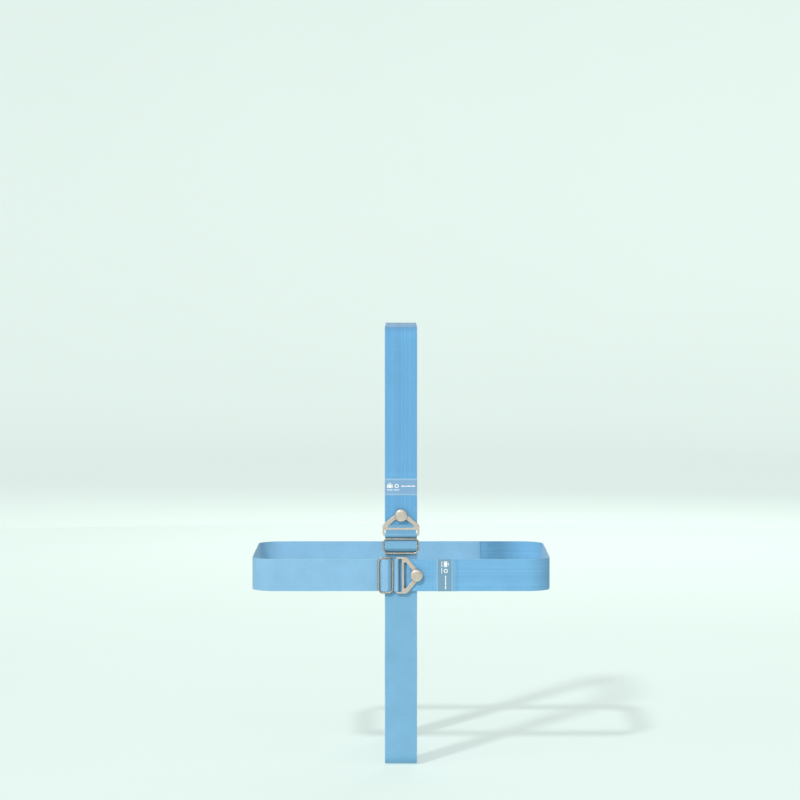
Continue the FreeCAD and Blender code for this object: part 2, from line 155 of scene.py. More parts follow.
def make_floor():
    """A round floor that curves up into a wall all round, so that no horizon shows. The wall gives the
    straps no light: it only stands behind them and shows in the metal."""
    floor_radius, flat, bend, wall = 4.0, 7.0, 3.0, 5.0
    make_stage("studio_floor", [(1.5, 0.0), (floor_radius, 0.0)], 0.49)
    profile = [(floor_radius, 0.0), (flat, 0.0)]
    steps = 12
    for step in range(1, steps + 1):
        angle = math.radians(90 * step / steps)
        profile.append((flat + bend * math.sin(angle), bend - bend * math.cos(angle)))
    profile.append((flat + bend, bend + wall))
    surround = make_stage("studio_wall", profile, 0.54)
    surround.visible_diffuse = surround.visible_shadow = False


def make_sun(name, towards, strength, angle):
    data = bpy.data.lights.new(name, "SUN")
    data.energy = strength
    data.angle = math.radians(angle)
    light = bpy.data.objects.new(name, data)
    bpy.context.scene.collection.objects.link(light)
    light.rotation_euler = Vector(towards).to_track_quat("-Z", "Y").to_euler()


def make_soft_box(name, place, size, power):
    """A soft box that lights the straps' middle."""
    data = bpy.data.lights.new(name, "AREA")
    data.shape = "RECTANGLE"
    data.size, data.size_y = size
    data.energy = power
    light = bpy.data.objects.new(name, data)
    bpy.context.scene.collection.objects.link(light)
    light.visible_camera = False
    light.location = Vector(place)
    light.rotation_euler = (Vector((0, 0, 0.35)) - light.location).to_track_quat("-Z", "Y").to_euler()


def make_flag():
    """A dark card behind the camera that only the polished metal sees."""
    distance, half_turn, steps = 6.5, math.radians(52), 24
    low, high = -0.2, 3.6
    shape = bmesh.new()
    columns = []
    for step in range(steps + 1):
        angle = half_turn * (2 * step / steps - 1)
        x, y = distance * math.sin(angle), -distance * math.cos(angle)
        columns.append([shape.verts.new((x, y, z)) for z in (low, high)])
    for left, right in zip(columns, columns[1:]):
        shape.faces.new((left[0], right[0], right[1], left[1]))
    flag = add_mesh("dark_card", shape)
    net = Net("dark_card")
    net.shader.inputs["Base Color"].default_value = (0.012, 0.010, 0.009, 1)
    net.shader.inputs["Roughness"].default_value = 1.0
    net.shader.inputs["Specular IOR Level"].default_value = 0.0
    flag.data.materials.append(net.material)
    flag.visible_camera = flag.visible_diffuse = flag.visible_shadow = False
    flag.visible_transmission = flag.visible_volume_scatter = False


def make_lights():
    """One key from the upper left, soft boxes round the straps, and an even pale surround."""
    make_sun("key", (0.55, 1.0, -0.95), 1.55, 5)
    make_soft_box("left_box", (-3.2, -2.6, 1.6), (1.6, 2.6), 22)
    make_soft_box("right_box", (3.4, -2.2, 1.4), (1.4, 2.6), 15)
    make_soft_box("front_box", (-0.5, -5.4, 1.95), (2.6, 1.2), 36)
    make_soft_box("top_box", (0.0, -1.6, 3.6), (2.6, 1.6), 14)
    make_soft_box("back_box", (0.6, 4.0, 2.4), (2.6, 1.8), 45)
    world = bpy.data.worlds.new("studio")
    bpy.context.scene.world = world
    world.use_nodes = True
    backdrop = world.node_tree.nodes["Background"]
    backdrop.inputs["Color"].default_value = (1.0, 0.975, 0.985, 1)
    backdrop.inputs["Strength"].default_value = 0.24
    bpy.context.scene.view_settings.view_transform = "Standard"


# --- Materials ---


class Net:
    """A material's node tree with short calls for the maths that the weaves need."""

    def __init__(self, name):
        self.material = bpy.data.materials.new(name)
        self.material.use_nodes = True
        self.nodes = self.material.node_tree.nodes
        self.links = self.material.node_tree.links
        self.shader = self.nodes["Principled BSDF"]

    def new(self, kind, values=(), **settings):
        node = self.nodes.new(kind)
        for key, value in settings.items():
            setattr(node, key, value)
        for key, value in dict(values).items():
            self.feed(node.inputs[key], value)
        return node

    def feed(self, socket, value):
        if isinstance(value, bpy.types.NodeSocket):
            self.links.new(value, socket)
        else:
            socket.default_value = value

    def math(self, operation, first, second=0.0, third=0.0):
        values = {0: first, 1: second, 2: third}
        return self.new("ShaderNodeMath", values, operation=operation).outputs[0]

    def wave(self, distance, pitch):
        """A sine of a distance, one turn for each pitch."""
        return self.math("SINE", self.math("MULTIPLY", distance, 2 * math.pi / pitch))

    def noise(self, vector, scale, detail=2.0):
        values = {"Vector": vector, "Scale": scale, "Detail": detail}
        return self.new("ShaderNodeTexNoise", values).outputs["Fac"]

    def span(self, value, low, high, to_low, to_high):
        values = {"Value": value, "From Min": low, "From Max": high, "To Min": to_low, "To Max": to_high}
        return self.new("ShaderNodeMapRange", values).outputs["Result"]

    def blend(self, share, first, second):
        node = self.new("ShaderNodeMix", data_type="RGBA")
        self.feed(node.inputs["Factor"], share)
        self.feed(node.inputs["A"], self.rgba(first))
        self.feed(node.inputs["B"], self.rgba(second))
        return node.outputs["Result"]

    def rgba(self, colour):
        return colour if isinstance(colour, bpy.types.NodeSocket) else (*colour, 1.0)

    def shade(self, colour, value):
        """A colour made lighter or darker by a value round 1."""
        node = self.new("ShaderNodeVectorMath", operation="SCALE")
        self.feed(node.inputs[0], colour)
        self.feed(node.inputs["Scale"], value)
        return node.outputs["Vector"]

    def bump(self, height, strength, distance):
        values = {"Height": height, "Strength": strength, "Distance": distance}
        self.feed(self.shader.inputs["Normal"], self.new("ShaderNodeBump", values).outputs["Normal"])

    def strap_plane(self, name, stretches):
        """(along, across, vector) in metres: from the piece's own map, or, on a run that stretches,
        from its place in the world, so that the weave keeps its size."""
        if not stretches:
            vector = self.new("ShaderNodeUVMap", uv_map="weave").outputs["UV"]
            split = self.new("ShaderNodeSeparateXYZ", {"Vector": vector})
            return split.outputs["X"], split.outputs["Y"], vector
        strap = STRAPS[name]
        place = self.new("ShaderNodeTexCoord").outputs["Object"]
        split = self.new("ShaderNodeSeparateXYZ", {"Vector": place})
        along, across = ("Z", "X") if strap.along.z else ("X", "Z")
        middle = strap.origin.dot(strap.across)
        across = self.math("SUBTRACT", split.outputs[across], middle)
        both = self.new("ShaderNodeCombineXYZ", {"X": split.outputs[along], "Y": across})
        return split.outputs[along], across, both.outputs["Vector"]


def cloth_shader(net, sheen=0.22):
    net.shader.inputs["Sheen Weight"].default_value = sheen
    net.shader.inputs["Sheen Roughness"].default_value = 0.45
    net.shader.inputs["Specular IOR Level"].default_value = 0.25


def edge_lightening(net, across, colour, half_width):
    """The bound edge of a webbing, a thread or two wide, catches more light."""
    distance = net.math("ABSOLUTE", across)
    share = net.span(distance, half_width - 1.3 * MM, half_width - 0.5 * MM, 0.0, 0.3)
    return net.blend(share, colour, LIGHT_BLUE)


def soft_variation(net, vector, amount):
    """Uneven dye and light wear: broad clouds and finer mottling."""
    broad = net.noise(vector, 28.0, 3.0)
    fine = net.noise(vector, 420.0, 4.0)
    total = net.math("ADD", net.math("MULTIPLY", broad, 0.45), net.math("MULTIPLY", fine, 0.55))
    return net.span(total, 0.3, 0.7, 1 - amount, 1 + amount)


def elastic_material(name, stretches):
    """Ribbed elastic: lengthwise ribs of small stitches, with painted shade in the grooves between them.
    """
    net = Net(f"{name}_elastic" + ("_front" if stretches else "_back"))
    along, across, vector = net.strap_plane(name, stretches)
    rib = net.math("ABSOLUTE", net.wave(across, 2 * RIB_PITCH))
    row = net.math("FLOOR", net.math("DIVIDE", across, RIB_PITCH))
    shifted = net.math("ADD", along, net.math("MULTIPLY", row, 0.45 * MM))
    stitch = net.math("ABSOLUTE", net.wave(shifted, 1.8 * MM))
    height = net.math("MULTIPLY", rib, net.span(stitch, 0, 1, 0.55, 1.0))
    # Painted shade: the colour darkens in the grooves between the ribs.
    groove_shade = net.span(rib, 0.0, 0.7, 0.84, 1.03)
    colour = net.shade(ELASTIC_BLUE[name], groove_shade)
    colour = net.shade(colour, net.span(stitch, 0, 1, 0.95, 1.03))
    single = net.new("ShaderNodeTexWhiteNoise", {"W": row}, noise_dimensions="1D").outputs["Value"]
    band = net.new("ShaderNodeTexNoise", {"W": net.math("MULTIPLY", across, 160.0), "Detail": 0.0},
                   noise_dimensions="1D").outputs["Fac"]
    colour = net.shade(colour, net.span(single, 0, 1, 0.95, 1.05))
    colour = net.shade(colour, net.span(band, 0.3, 0.7, 0.96, 1.04))
    colour = net.shade(colour, soft_variation(net, vector, 0.07))
    colour = edge_lightening(net, across, colour, STRAP_HALF_WIDTH)
    net.feed(net.shader.inputs["Base Color"], colour)
    net.feed(net.shader.inputs["Roughness"], net.span(stitch, 0, 1, 0.86, 0.70))
    net.bump(height, 0.6, 0.25 * MM)
    cloth_shader(net)
    return net.material


def twill_material(name, stretches):
    """Fine twill: short diagonal floats, broken by the weft, with a matt mottled face."""
    net = Net(f"{name}_twill" + ("_front" if stretches else "_back"))
    along, across, vector = net.strap_plane(name, stretches)
    slant = net.math("ADD", along, net.math("MULTIPLY", across, 1.35))
    diagonal = net.math("MULTIPLY_ADD", net.wave(slant, 2.3 * MM), 0.5, 0.5)
    weft = net.math("MULTIPLY_ADD", net.wave(across, 0.9 * MM), 0.5, 0.5)
    height = net.math("ADD", net.math("MULTIPLY", diagonal, 0.7), net.math("MULTIPLY", weft, 0.3))
    colour = net.shade(TWILL_BLUE[name], net.span(height, 0.1, 0.9, 0.88, 1.07))
    colour = net.shade(colour, soft_variation(net, vector, 0.10))
    colour = edge_lightening(net, across, colour, STRAP_HALF_WIDTH)
    net.feed(net.shader.inputs["Base Color"], colour)
    net.feed(net.shader.inputs["Roughness"], net.span(diagonal, 0, 1, 0.88, 0.72))
    net.bump(height, 0.55, 0.22 * MM)
    cloth_shader(net)
    return net.material


def label_material(strap):
    """Close-woven label with a lighter folded border along both long edges."""
    net = Net(f"label_{strap.name}")
    along, across, vector = net.strap_plane(strap.name, False)
    warp = net.wave(across, 0.7 * MM)
    weft = net.wave(along, 0.7 * MM)
    weave = net.math("MULTIPLY_ADD", net.math("MULTIPLY", warp, weft), 0.5, 0.5)
    half = (strap.label_end - strap.label_start) / 2
    from_middle = net.math("ABSOLUTE", net.math("SUBTRACT", along, half))
    border = net.span(from_middle, half - 3.2 * MM, half - 2.4 * MM, 0.0, 0.40)
    shaded = net.shade(LABEL_BLUE[strap.name], net.span(weave, 0, 1, 0.93, 1.05))
    shaded = net.shade(shaded, soft_variation(net, vector, 0.06))
    net.feed(net.shader.inputs["Base Color"], net.blend(border, shaded, LIGHT_BLUE))
    net.feed(net.shader.inputs["Roughness"], net.span(weave, 0, 1, 0.75, 0.6))
    net.bump(weave, 0.5, 0.12 * MM)
    cloth_shader(net, 0.2)
    return net.material


def thread_material(name, colour):
    """Twisted sewing thread: fine slanted plies."""
    net = Net(name)
    place = net.new("ShaderNodeTexCoord").outputs["Object"]
    split = net.new("ShaderNodeSeparateXYZ", {"Vector": place})
    slant = net.math("ADD", split.outputs["X"], split.outputs["Z"])
    ply = net.math("MULTIPLY_ADD", net.wave(slant, 0.5 * MM), 0.5, 0.5)
    net.feed(net.shader.inputs["Base Color"], net.shade(colour, net.span(ply, 0, 1, 0.85, 1.06)))
    net.feed(net.shader.inputs["Roughness"], net.span(ply, 0, 1, 0.7, 0.5))
    net.bump(ply, 0.5, 0.08 * MM)
    cloth_shader(net, 0.2)
    return net.material


def print_material():
    """Pale ink that has sunk a little into the weave."""
    net = Net("label_print")
    place = net.new("ShaderNodeTexCoord").outputs["Object"]
    grain = net.noise(place, 1800.0, 2.0)
    colour = net.shade(PRINT_WHITE, net.span(grain, 0.3, 0.7, 0.9, 1.04))
    net.feed(net.shader.inputs["Base Color"], colour)
    net.feed(net.shader.inputs["Roughness"], net.span(grain, 0.3, 0.7, 0.5, 0.7))
    net.bump(grain, 0.3, 0.05 * MM)
    return net.material


def nickel_material(name, brightness, smooth, rough, painted_edge_shade):
    """Warm nickel plate with fine brushing and faint stains. The plate shows where faces look forwards
    or back;
    faces that turn edge-on to the camera get painted shade, a dark tone in place of dark reflections and
    shadow."""
    net = Net(name)
    coordinates = net.new("ShaderNodeTexCoord").outputs["Object"]
    normal = net.new("ShaderNodeNewGeometry").outputs["Normal"]
    split = net.new("ShaderNodeSeparateXYZ", {"Vector": normal})
    facing = net.math("ABSOLUTE", split.outputs["Y"])
    stretched = net.new("ShaderNodeMapping", {"Vector": coordinates})
    stretched.inputs["Scale"].default_value = (90.0, 900.0, 900.0)
    brushing = net.noise(stretched.outputs["Vector"], 4.0, 3.0)
    stains = net.noise(coordinates, 160.0, 4.0)
    grain = net.noise(coordinates, 2600.0, 2.0)
    plate = net.shade(NICKEL, net.span(stains, 0.35, 0.7, brightness, brightness * 0.88))
    plate = net.shade(plate, net.span(grain, 0.3, 0.7, 0.95, 1.04))
    # Painted shade: the base colour goes over to the dark tone as a face turns edge-on to the camera's
    # axis.
    net.feed(net.shader.inputs["Base Color"],
             net.blend(net.span(facing, 0.0, painted_edge_shade, 0.0, 1.0), NICKEL_PAINTED_SHADE, plate))
    net.shader.inputs["Metallic"].default_value = 1.0
    gloss = net.math("ADD", net.math("MULTIPLY", brushing, 0.5), net.math("MULTIPLY", stains, 0.5))
    net.feed(net.shader.inputs["Roughness"], net.span(gloss, 0.3, 0.7, smooth, rough))
    height = net.math("ADD", net.math("MULTIPLY", brushing, 0.6), net.math("MULTIPLY", grain, 0.4))
    net.bump(height, 0.2, 0.03 * MM)
    return net.material


def stage_material(name, glow):
    """Matt paper with faint clouds."""
    net = Net(name)
    place = net.new("ShaderNodeTexCoord").outputs["Object"]
    clouds = net.noise(place, 1.2, 2.0)
    colour = net.shade(FLOOR_MINT, net.span(clouds, 0.3, 0.7, 0.595, 0.605))
    net.feed(net.shader.inputs["Base Color"], colour)
    net.shader.inputs["Emission Color"].default_value = (*FLOOR_MINT, 1)
    net.shader.inputs["Emission Strength"].default_value = glow
    net.shader.inputs["Roughness"].default_value = 0.9
    net.shader.inputs["Specular IOR Level"].default_value = 0.1
    return net.material


# --- Meshes ---


def add_mesh(name, shape):
    """Turns a bmesh into a smooth object that lies in the frame."""
    bmesh.ops.recalc_face_normals(shape, faces=shape.faces)
    mesh = bpy.data.meshes.new(name)
    shape.to_mesh(mesh)
    shape.free()
    mesh.shade_smooth()
    mesh.set_sharp_from_angle(angle=SHARP_EDGE)
    piece = bpy.data.objects.new(name, mesh)
    bpy.context.scene.collection.objects.link(piece)
    return piece


class Strap:
    """One strap's local frame and its stations, all read from the CAD nodes.

    Along runs from the clip to the button, with 0 at the button's axis. Out is the distance from the
    webbing's inner face towards the viewer."""

    def __init__(self, name, along, across, reading):
        self.name = name
        self.along, self.across, self.out = Vector(along), Vector(across), Vector((0, -1, 0))
        self.reading = reading
        cap_low, cap_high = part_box(f"{name}_button_cap")
        self.origin = (cap_low + cap_high) / 2
        self.origin.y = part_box(f"{name}_button_end_webbing")[1].y
        self.label_start, self.label_end = self.reach("label")
        self.label_level = self.levels("label")[1]
        self.hem_level = self.levels("label")[0]
        self.cap_low, self.cap_high = self.levels("button_cap")
        self.cap_radius = (self.reach("button_cap")[1] - self.reach("button_cap")[0]) / 2
        self.clip_foot = self.reach("clip")[0]
        low, high = self.levels("clip")
        self.clip_level, self.clip_bar = (low + high) / 2, (high - low) / 2
        self.slider_far, self.slider_near = self.reach("slider_ring")
        low, high = self.levels("slider_ring")
        self.rail_level, self.wire = (low + high) / 2, (high - low) / 2
        self.bar_place = (self.slider_far + self.slider_near) / 2
        low, high = self.levels("slider_bar")
        self.bar_radius = (high - low) / 2
        self.twill = self.levels("front_webbing")[1]
        self.elastic = self.levels("elastic_webbing")[1]
        self.run_low = self.reach("twill_webbing")[0] + self.twill
        self.run_high = self.reach("elastic_webbing")[1] - self.elastic
        self.front_low = self.reach("front_webbing")[0]
        self.edge_radius = self.front_low - self.run_low
        self.back = self.levels("twill_webbing")[0] + self.twill
        self.end_join = self.reach("button_end_webbing")[1]
        self.hem_nose = self.reach("button_end_webbing")[0]
        rows = self.reach("lap_stitching")
        self.lap = rows[0] - LAP_MARGIN
        self.lap_end = rows[1] + LAP_MARGIN
        low, high = self.reach("button_tack")
        self.tack_radius = (high - low) / 2
        self.tack_face = self.head_level("button_tack", self.tack_radius / 2)

    def local(self, point):
        step = point - self.origin
        return Vector((step.dot(self.along), step.dot(self.across), step.dot(self.out)))

    def world(self, along, across, out):
        return self.origin + self.along * along + self.across * across + self.out * out

    def corners(self, node):
        low, high = (self.local(corner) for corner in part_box(f"{self.name}_{node}"))
        return [sorted((a, b)) for a, b in zip(low, high)]

    def reach(self, node):
        return self.corners(node)[0]

    def levels(self, node):
        return self.corners(node)[2]

    def head_level(self, node, pin_radius):
        """The highest level that a rivet reaches outside its pin."""
        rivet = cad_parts[f"{self.name}_{node}"]
        points = [self.local(rivet.matrix_world @ vertex.co) for vertex in rivet.data.vertices]
        return max(point.z for point in points if math.hypot(point.x, point.y) > pin_radius)


def turn_left(step):
    return Vector((-step.y, step.x))


def sample_path(stations, thickness, side, step, fine):
    """Points and outward normals along one face of a ribbon with rounded bends, as (point, normal).
    The rows are close together on straights between the two fine places."""
    line = [Vector((along, out)) for along, out, _ in stations]
    samples = []
    start = line[0]

    def straight(a, b, last):
        length = (b - a).length
        if length < 1e-7:
            return
        normal = turn_left((b - a) / length) * side
        inside = [place for place in fine if min(a.x, b.x) < place < max(a.x, b.x)]
        cuts = [0.0, *sorted((place - a.x) / (b.x - a.x) for place in inside), 1.0]
        for low, high in zip(cuts, cuts[1:]):
            middle = a.lerp(b, (low + high) / 2).x
            close = bool(fine) and min(fine) < middle < max(fine)
            count = max(1, math.ceil((high - low) * length / (FINE_STEP if close else step)))
            for number in range(count):
                samples.append((a.lerp(b, low + (high - low) * number / count), normal))
        if last:
            samples.append((b.copy(), normal))

    for before, corner, after, station in zip(line, line[1:], line[2:], stations[1:]):
        ahead, behind = (after - corner).normalized(), (before - corner).normalized()
        turn = (corner - before).normalized().cross(ahead)
        outside = (turn > 0) != (side > 0)
        radius = station[2] + (0 if outside else thickness)
        half = behind.angle(ahead) / 2
        reach = radius / math.tan(half)
        arc_start, arc_end = corner + behind * reach, corner + ahead * reach
        straight(start, arc_start, False)
        centre = corner + (behind + ahead).normalized() * (radius / math.sin(half))
        sweep = math.pi - 2 * half
        count = max(2, math.ceil(sweep / BEND_STEP))
        first = arc_start - centre
        for number in range(count):
            angle = math.copysign(sweep * number / count, turn)
            spoke = Vector((first.x * math.cos(angle) - first.y * math.sin(angle),
                            first.x * math.sin(angle) + first.y * math.cos(angle)))
            normal = spoke.normalized() * (1 if outside else -1)
            samples.append((centre + spoke, normal))
        start = arc_end
    straight(start, line[-1], True)
    return samples


def cross_section(thickness, columns, ribs):
    """A closed outline across the webbing as (across, height): ribbed faces and round edges."""
    flat = STRAP_HALF_WIDTH - thickness / 2
    spread = [flat * (2 * number / (columns - 1) - 1) for number in range(columns)]

    def groove(across):
        return RIB_DEPTH * (1 - abs(math.sin(math.pi * across / RIB_PITCH))) if ribs else 0.0

    face = [(across, thickness - groove(across)) for across in spread]
    turns = [math.radians(angle) for angle in (67, 45, 22, 0, -22, -45, -67)]
    right = [(flat + thickness / 2 * math.cos(a), thickness / 2 * (1 + math.sin(a))) for a in turns]
    back = [(across, groove(across)) for across in reversed(spread)]
    left = [(-across, height) for across, height in reversed(right)]
    return face + right + back + left


def swell(strap, point, across):
    """How far the cloth stands off a true plane: nothing under the hardware and at the crossing."""
    low = min(strap.slider_far, strap.crossing - STRAP_HALF_WIDTH)
    outside = max(low - point.x, point.x - strap.end_join)
    on_front = point.y > strap.back / 2
    calm = min(1.0, max(0.0, outside / CALM_FADE)) if on_front else 1.0
    place = Vector((point.x, point.y, across * 0.6)) * SWELL_SCALE
    return SWELL * calm * noise.noise(place + Vector((0, 0, len(strap.name))))


def webbing(strap, name, stations, thickness, side, ribs=False, step=ROW_STEP, start=0.0, sense=1.0,
            pinch=None, press=None, fine=()):
    """A closed strip of webbing along the stations, with its weave map in metres.
    Pinch gives the share of the full width that is left at a place along the strap. Press gives the
    level that a point is pressed to."""
    columns = ELASTIC_COLUMNS if ribs else TWILL_COLUMNS
    outline = cross_section(thickness, columns, ribs)
    shape = bmesh.new()
    weave = shape.loops.layers.uv.new("weave")
    rows, lengths, travelled, before = [], [], 0.0, None
    for point, normal in sample_path(stations, thickness, side, step, fine):
        travelled += (point - before).length if before else 0.0
        before = point.copy()
        share = pinch(point.x) if pinch else 1.0
        drift = WANDER * noise.noise(Vector((travelled * WANDER_SCALE, len(strap.name), len(name))))
        row = []
        for across, height in outline:
            edge = abs(across) / STRAP_HALF_WIDTH
            shift = drift * edge**3 * (1 if across > 0 else -0.7)
            place = point + normal * (height + swell(strap, point, across))
            level = press(place.x, across, place.y) if press else place.y
            row.append(shape.verts.new(strap.world(place.x, across * share + shift, level)))
        rows.append(row)
        lengths.append(start + sense * travelled)
    count = len(outline)
    for low, high, a, b in zip(rows, rows[1:], lengths, lengths[1:]):
        for number in range(count):
            after = (number + 1) % count
            face = shape.faces.new((low[number], low[after], high[after], high[number]))
            near, far = outline[number][0], outline[after][0]
            places = ((a, near), (a, far), (b, far), (b, near))
            for loop, place in zip(face.loops, places):
                loop[weave].uv = place
    for row, length in ((rows[0], lengths[0]), (rows[-1], lengths[-1])):
        close_end(shape, weave, row, outline, columns, length)
    piece = add_mesh(f"{strap.name}_{name}", shape)
    return piece


def close_end(shape, weave, row, outline, columns, length):
    """Closes a cut end with a strip of quads between the two faces, and a fan at each round edge."""
    count = len(row)
    edge = (count - 2 * columns) // 2
    top = row[:columns]
    bottom = row[columns + edge:2 * columns + edge][::-1]
    faces = [(top[n], top[n + 1], bottom[n + 1], bottom[n]) for n in range(columns - 1)]
    faces.append([top[-1], *row[columns:columns + edge], bottom[-1]])
    faces.append([bottom[0], *row[2 * columns + edge:], top[0]])
    place = {vertex: outline[number][0] for number, vertex in enumerate(row)}
    for corners in faces:
        face = shape.faces.new(corners)
        for loop in face.loops:
            loop[weave].uv = (length, place[loop.vert])


def dress(piece, material, slot, *nodes):
    """Gives the piece its material and hides the CAD nodes that it stands for. The slot is not used."""
    piece.data.materials.append(material)
    if nodes:
        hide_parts(*nodes)
    return piece


# --- Elastic webbing ---


def tack_dent(strap):
    """The tack's head presses a round dent into the elastic's inner face."""
    level = strap.tack_face + FIT_GAP / 2
    outer = strap.tack_radius + FIT_GAP + DENT_FADE

    def press(along, across, out):
        share = min(1.0, max(0.0, (outer - math.hypot(along, across)) / DENT_FADE))
        return out + max(0.0, level - out) * share**2 * (3 - 2 * share)

    return press, (-outer, outer)


def elastic_front(strap, materials):
    """The hemmed end and the straight front run, which stretches between the label and the far edge."""
    t = strap.elastic
    gap = strap.hem_level - 2 * t
    hem_end = strap.end_join - 8.0 * MM
    inside = strap.hem_nose + t
    stations = [
        (strap.run_high - strap.edge_radius, 0, 0),
        (hem_end + 5 * MM, 0, 6 * MM),
        (hem_end + 0.5 * MM, t + gap, 3 * MM),
        (inside, t + gap, gap / 2),
        (inside, t, gap / 2),
        (hem_end - t, t, 0),
    ]
    along = strap.world(stations[0][0], 0, 0).dot(strap.along)
    press, fine = tack_dent(strap)
    piece = webbing(strap, "elastic_front", stations, t, -1, ribs=True, step=FRONT_STEP, start=along,
                    sense=-1.0, press=press, fine=fine)
    dress(piece, materials[f"{strap.name}_elastic_front"], "elastic",
          f"{strap.name}_elastic_webbing", f"{strap.name}_button_end_webbing")
    strap.world(strap.run_high - strap.edge_radius, 0, 0)
    strap.world(strap.end_join, 0, 0)
    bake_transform(piece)


def elastic_back(strap, materials):
    """Round two edges of the suitcase and along its back, over the twill at the lap."""
    t, radius = strap.elastic, strap.edge_radius
    stations = [
        (strap.run_high - radius, 0, 0),
        (strap.run_high, 0, radius),
        (strap.run_high, strap.back, radius),
        (strap.lap_end + 12 * MM, strap.back, 5 * MM),
        (strap.lap_end + 5 * MM, strap.back - strap.twill, 5 * MM),
        (strap.lap, strap.back - strap.twill, 0),
    ]
    along = strap.world(stations[0][0], 0, 0).dot(strap.along)
    piece = webbing(strap, "elastic_back", stations, t, 1, ribs=True, start=along)
    dress(piece, materials[f"{strap.name}_elastic_back"], "elastic")
    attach(piece, "root")


# --- Twill webbing ---


def rail_pinch(strap):
    """Share of the width at a place along the strap: the ring's cut corners squeeze the edges in."""
    inner_near, inner_far = strap.slider_near - 2 * strap.wire, strap.slider_far + 2 * strap.wire

    def share(along):
        distance = min(abs(along - inner_near), abs(along - inner_far))
        return 1.0 - 0.075 * max(0.0, 1 - distance / (4.2 * MM)) ** 0.7

    return share


def twill_loop(strap, materials):
    """Round the clip's bar, under the near rail, over the slider's bar and under the far rail."""
    t = strap.twill
    bar = strap.clip_foot + strap.clip_bar
    hug = strap.clip_bar + FIT_GAP
    layer = t + FIT_GAP
    near, far = strap.slider_near - 2 * strap.wire, strap.slider_far + 2 * strap.wire
    reach = strap.bar_radius + t + 0.25 * MM
    crown = strap.rail_level + reach
    stations = [
        (bar - 0.8 * MM, strap.clip_level - hug, 0),
        (bar + hug, strap.clip_level - hug, hug),
        (bar + hug, strap.clip_level + hug, hug),
        (bar - 0.6 * MM, strap.clip_level + hug, 1.2 * MM),
        (strap.slider_near + 0.2 * MM, layer, 1.0 * MM),
        (near - 0.5 * MM, layer, 0.4 * MM),
        (strap.bar_place + reach, crown, 1.6 * MM),
        (strap.bar_place - reach, crown, 1.6 * MM),
        (far, 0, 0.8 * MM),
        (strap.slider_far + 0.6 * MM, 0, 0),
    ]
    piece = webbing(strap, "twill_loop", stations, t, -1, step=FINE_STEP, pinch=rail_pinch(strap))
    dress(piece, materials[f"{strap.name}_twill_front"], "twill", f"{strap.name}_clip_loop_webbing",
          f"{strap.name}_running_webbing", f"{strap.name}_slider_webbing")
    strap.world(bar - 0.8 * MM, 0, 0)
    strap.world(strap.slider_near - 0.2 * MM, 0, 0)
    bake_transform(piece)


def twill_return(strap, materials):
    """The under layer: from the clip's bar under the near rail and round the slider's bar, where it is
    sewn to itself."""
    t = strap.twill
    bar = strap.clip_foot + strap.clip_bar
    low = strap.clip_level - strap.clip_bar - FIT_GAP
    hug = strap.bar_radius + FIT_GAP
    under, over = strap.rail_level - hug, strap.rail_level + hug
    near = strap.slider_near - 2 * strap.wire
    slope = (under - t) / (near - strap.bar_place - hug)
    tail_end = near - 3.0 * MM
    stations = [
        (bar - 0.85 * MM, low, 0),
        (bar - 1.4 * MM, low, 0.6 * MM),
        (strap.slider_near + 0.1 * MM, t, 0.6 * MM),
        (near, t, 0.8 * MM),
        (strap.bar_place + hug, under, 0.8 * MM),
        (strap.bar_place - hug, under, hug),
        (strap.bar_place - hug, over, hug),
        (strap.bar_place + t, over, 0.8 * MM),
        (tail_end, t + (near - tail_end) * slope + FIT_GAP, 0),
    ]
    piece = webbing(strap, "twill_return", stations, t, 1, step=FINE_STEP, pinch=rail_pinch(strap))
    dress(piece, materials[f"{strap.name}_twill_front"], "twill", f"{strap.name}_return_webbing",
          f"{strap.name}_sewn_end")
    strap.world(bar - 0.8 * MM, 0, 0)
    strap.world(strap.slider_near - 0.2 * MM, 0, 0)
    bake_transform(piece)


def twill_front(strap, materials):
    """The straight run from under the slider's far rail to the edge of the suitcase."""
    t = strap.twill
    start = strap.slider_far + 0.7 * MM
    stations = [(start, 0, 0), (strap.front_low, 0, 0)]
    piece = webbing(strap, "twill_front", stations, t, -1, step=FRONT_STEP)
    dress(piece, materials[f"{strap.name}_twill_front"], "twill", f"{strap.name}_front_webbing")
    strap.world(strap.front_low, 0, 0)
    strap.world(start, 0, 0)
    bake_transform(piece)


def twill_back(strap, materials):
    """Round two edges of the suitcase and along its back to the lap."""
    t, radius = strap.twill, strap.edge_radius
    stations = [
        (strap.front_low, 0, 0),
        (strap.run_low, 0, radius),
        (strap.run_low, strap.back, radius),
        (strap.lap_end, strap.back, 0),
    ]
    along = strap.world(strap.front_low, 0, 0).dot(strap.along)
    piece = webbing(strap, "twill_back", stations, t, -1, start=along, sense=-1.0)
    dress(piece, materials[f"{strap.name}_twill_back"], "twill", f"{strap.name}_twill_webbing")
    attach(piece, "root")


# --- Label, thread and print ---


